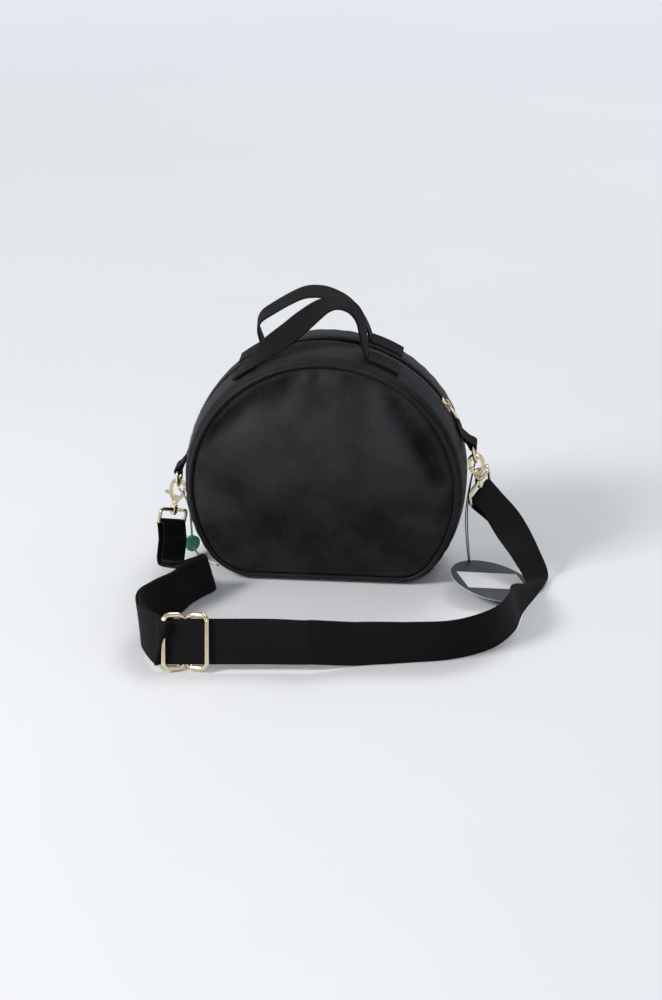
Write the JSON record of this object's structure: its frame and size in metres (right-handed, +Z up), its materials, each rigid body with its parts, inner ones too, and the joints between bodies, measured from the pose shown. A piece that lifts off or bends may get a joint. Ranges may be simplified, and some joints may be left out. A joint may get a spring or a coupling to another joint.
{
  "type": "circle bag",
  "caption": "Soft round handbag with a zipped gusset, webbing handles, side rings, swivel snap hooks and a detachable adjustable shoulder strap.",
  "frame": {"origin": "middle of the flat base, on the table", "axes": "+X to the right as seen from the front, -Y towards the front, +Z up"},
  "size_m": [0.3553, 0.2878, 0.2573],
  "materials": {
    "shell": "fine matte twill",
    "lining": "plain woven",
    "piping": "satin",
    "zip_tape": "woven",
    "zip_teeth": "moulded",
    "webbing": "ribbed webbing",
    "gilt": "pale gold, polished",
    "board": "plain",
    "card": "satin card",
    "sticker": "plain paper",
    "string": "waxed string",
    "white_cord": "braided cord",
    "seal": "glossy"
  },
  "bodies": {
    "bag": {"front_panel": "shell", "back_panel": "shell", "top_band_front": "shell", "top_band_back": "shell", "base_gusset": "shell", "front_lining": "lining", "back_lining": "lining", "gusset_lining": "lining", "front_piping": "piping", "back_piping": "piping", "zip_tape_front": "zip_tape", "zip_tape_back": "zip_tape", "zip_teeth_front": "zip_teeth", "zip_teeth_back": "zip_teeth", "zip_stops": "zip_teeth", "base_board": "board", "front_handle_ends": "webbing", "back_handle_ends": "webbing", "left_tab": "webbing", "right_tab": "webbing", "left_strap_eye": "webbing", "right_strap_eye": "webbing", "shoulder_strap": "webbing", "strap_second_ply": "webbing", "swing_tag": "card", "tag_sticker": "sticker", "tag_string": "string", "seal_cord": "white_cord", "seal_disc": "seal"},
    "zip_slider": {"zip_slider": "gilt"},
    "zip_pull": {"zip_pull": "gilt"},
    "front_handle": {"front_handle_loop": "webbing"},
    "back_handle": {"back_handle_loop": "webbing"},
    "strap_slider": {"strap_slider": "gilt"},
    "left_d_ring": {"left_d_ring": "gilt"},
    "left_strap_ring": {"left_strap_ring": "gilt"},
    "left_hook": {"left_hook_body": "gilt", "left_gate_pin": "gilt"},
    "left_gate": {"left_hook_gate": "gilt"},
    "right_d_ring": {"right_d_ring": "gilt"},
    "right_strap_ring": {"right_strap_ring": "gilt"},
    "right_hook": {"right_hook_body": "gilt", "right_gate_pin": "gilt"},
    "right_gate": {"right_hook_gate": "gilt"}
  },
  "joints": [
    {"name": "zip_travel", "type": "hinge", "parent": "bag", "child": "zip_slider", "pos_m": [0, 0, 0.088], "axis": [0, 1, 0], "range_deg": [-125, 0]},
    {"name": "zip_pull_swing", "type": "hinge", "parent": "zip_slider", "child": "zip_pull", "pos_m": [0.10742, 0, 0.15776], "axis": [0, -1, 0], "range_deg": [0, 150]},
    {"name": "front_handle_lean", "type": "hinge", "parent": "bag", "child": "front_handle", "pos_m": [-0.05999, -0.036, 0.20046], "axis": [0.9952, 0, 0.0982], "range_deg": [0, 75]},
    {"name": "back_handle_lean", "type": "hinge", "parent": "bag", "child": "back_handle", "pos_m": [-0.0594, 0.036, 0.20077], "axis": [-0.9954, 0, -0.0954], "range_deg": [0, 75]},
    {"name": "strap_slide", "type": "slide", "parent": "bag", "child": "strap_slider", "axis": [0.9963, 0.0854, 0], "range_m": [0, 0.07]},
    {"name": "left_d_ring_swing", "type": "hinge", "parent": "bag", "child": "left_d_ring", "pos_m": [-0.135, 0, 0.08741], "axis": [0, 1, 0], "range_deg": [-4, 10]},
    {"name": "left_strap_ring_sway", "type": "hinge", "parent": "bag", "child": "left_strap_ring", "pos_m": [-0.14144, -0.01351, 0.03931], "axis": [0.4099, 0.8297, -0.3789], "range_deg": [-2.7, 1.1]},
    {"name": "left_hook_swivel", "type": "hinge", "parent": "left_strap_ring", "child": "left_hook", "pos_m": [-0.13949, -0.00941, 0.05041], "axis": [0.1632, 0.342, 0.9254], "range_deg": [-12, 12]},
    {"name": "left_gate_open", "type": "hinge", "parent": "left_hook", "child": "left_gate", "pos_m": [-0.135, -0.00543, 0.06071], "axis": [0.0594, -0.9397, 0.3368], "range_deg": [0, 15], "stiffness_Nm_per_rad": 0.02, "springref_deg": -17.19},
    {"name": "right_d_ring_swing", "type": "hinge", "parent": "bag", "child": "right_d_ring", "pos_m": [0.13113, 0, 0.12009], "axis": [0, 1, 0], "range_deg": [-4, 0]},
    {"name": "right_strap_ring_sway", "type": "hinge", "parent": "bag", "child": "right_strap_ring", "pos_m": [0.13875, 0.00686, 0.07023], "axis": [0.3807, 0.8997, 0.2137], "range_deg": [0, 1.1]},
    {"name": "right_hook_swivel", "type": "hinge", "parent": "right_strap_ring", "child": "right_hook", "pos_m": [0.1371, 0.00477, 0.08193], "axis": [-0.1371, -0.1736, 0.9752], "range_deg": [-12, 12]},
    {"name": "right_gate_open", "type": "hinge", "parent": "right_hook", "child": "right_gate", "pos_m": [0.13291, 0.00276, 0.0929], "axis": [-0.0242, 0.9848, 0.172], "range_deg": [0, 15], "stiffness_Nm_per_rad": 0.02, "springref_deg": -17.19}
  ],
  "couplings": [
    {"joint": "left_strap_ring_sway", "follows": "left_d_ring_swing", "ratio": -0.2624},
    {"joint": "right_strap_ring_sway", "follows": "right_d_ring_swing", "ratio": -0.26568}
  ]
}
